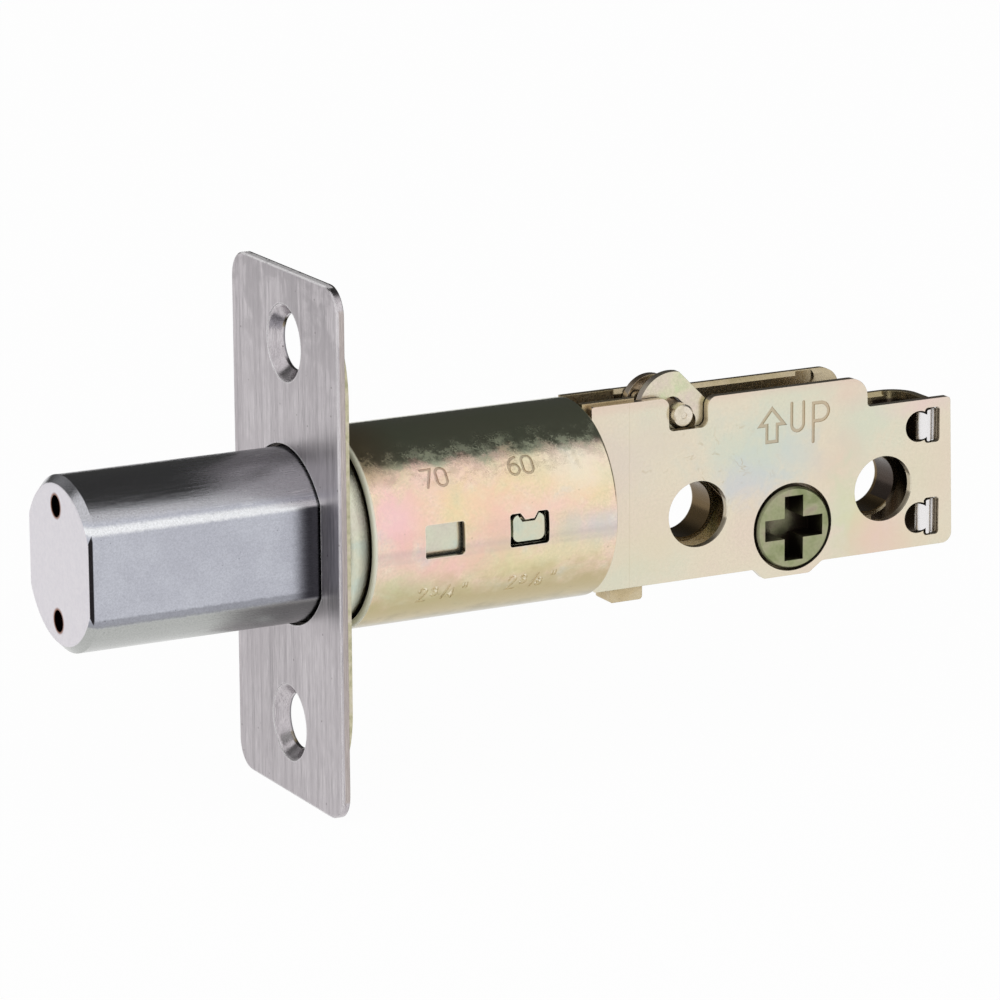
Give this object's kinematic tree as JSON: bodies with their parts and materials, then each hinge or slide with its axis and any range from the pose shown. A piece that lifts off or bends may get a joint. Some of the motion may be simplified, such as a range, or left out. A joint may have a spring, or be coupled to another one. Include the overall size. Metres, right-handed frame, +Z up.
{
  "type": "adjustable tubular deadbolt latch",
  "caption": "Tubular door bolt with a faceplate, a telescoping backset tube and a crank case with a cross-slotted hub; shown with the bolt thrown.",
  "frame": {"origin": "centre of the faceplate's front face, on the bolt's axis", "axes": "+X into the door along the bolt's axis, +Z up the faceplate, +Y to the far side of the door"},
  "size_m": [0.1065, 0.0254, 0.0572],
  "materials": {
    "satin_stainless": "satin, fine vertical grain",
    "plated_strip": "yellow zinc plated",
    "sleeve_plating": "yellow zinc plated, dull",
    "bright_zinc": "bright zinc plated",
    "tube_yellow_zinc": "iridescent yellow zinc plated",
    "yoke_yellow_zinc": "yellow zinc plated",
    "plate_yellow_zinc": "pale yellow zinc plated, rolled sheet",
    "hub_olive_zinc": "olive zinc plated, mottled",
    "satin_chrome": "satin chrome plated",
    "hardened_pin": "hardened, ground"
  },
  "bodies": {
    "case": {"outer_tube": "tube_yellow_zinc", "tube_end_cap": "yoke_yellow_zinc", "near_side_plate": "plate_yellow_zinc", "far_side_plate": "plate_yellow_zinc"},
    "front": {"faceplate": "satin_stainless", "back_plate": "plated_strip", "inner_sleeve": "sleeve_plating", "backset_catch": "bright_zinc", "catch_rivet": "bright_zinc"},
    "draw_bar": {"draw_bar": "yoke_yellow_zinc", "pin_yoke": "yoke_yellow_zinc", "front_yoke_rivet": "bright_zinc", "rear_yoke_rivet": "bright_zinc"},
    "bolt": {"bolt_head": "satin_chrome", "upper_saw_pin": "hardened_pin", "lower_saw_pin": "hardened_pin", "bolt_cross_pin": "hardened_pin"},
    "crank": {"hub": "hub_olive_zinc", "near_crank_arm": "plate_yellow_zinc", "far_crank_arm": "plate_yellow_zinc"},
    "pin": {"cross_pin": "bright_zinc"}
  },
  "joints": [
    {"name": "bolt_throw", "type": "slide", "parent": "case", "child": "draw_bar", "axis": [1, 0, 0], "range_m": [0, 0.0254]},
    {"name": "hub_turn", "type": "hinge", "parent": "case", "child": "crank", "pos_m": [0.06, 0, -0.006], "axis": [0, 1, 0], "range_deg": [0, 82.2]},
    {"name": "pin_ride", "type": "slide", "parent": "crank", "child": "pin", "axis": [0.7046, 0, -0.7096], "range_m": [0, 0.00163]},
    {"name": "backset_adjust", "type": "slide", "parent": "case", "child": "front", "axis": [-1, 0, 0], "range_m": [0, 0.01], "deforming": ["backset_catch"]},
    {"name": "bolt_extend", "type": "slide", "parent": "draw_bar", "child": "bolt", "axis": [-1, 0, 0], "range_m": [0, 0.01]}
  ],
  "couplings": [
    {"joint": "hub_turn", "follows": "bolt_throw", "rad_per_m": 56.461},
    {"joint": "pin_ride", "follows": "bolt_throw", "ratio": 0.064027},
    {"joint": "bolt_extend", "follows": "backset_adjust", "ratio": 1}
  ]
}
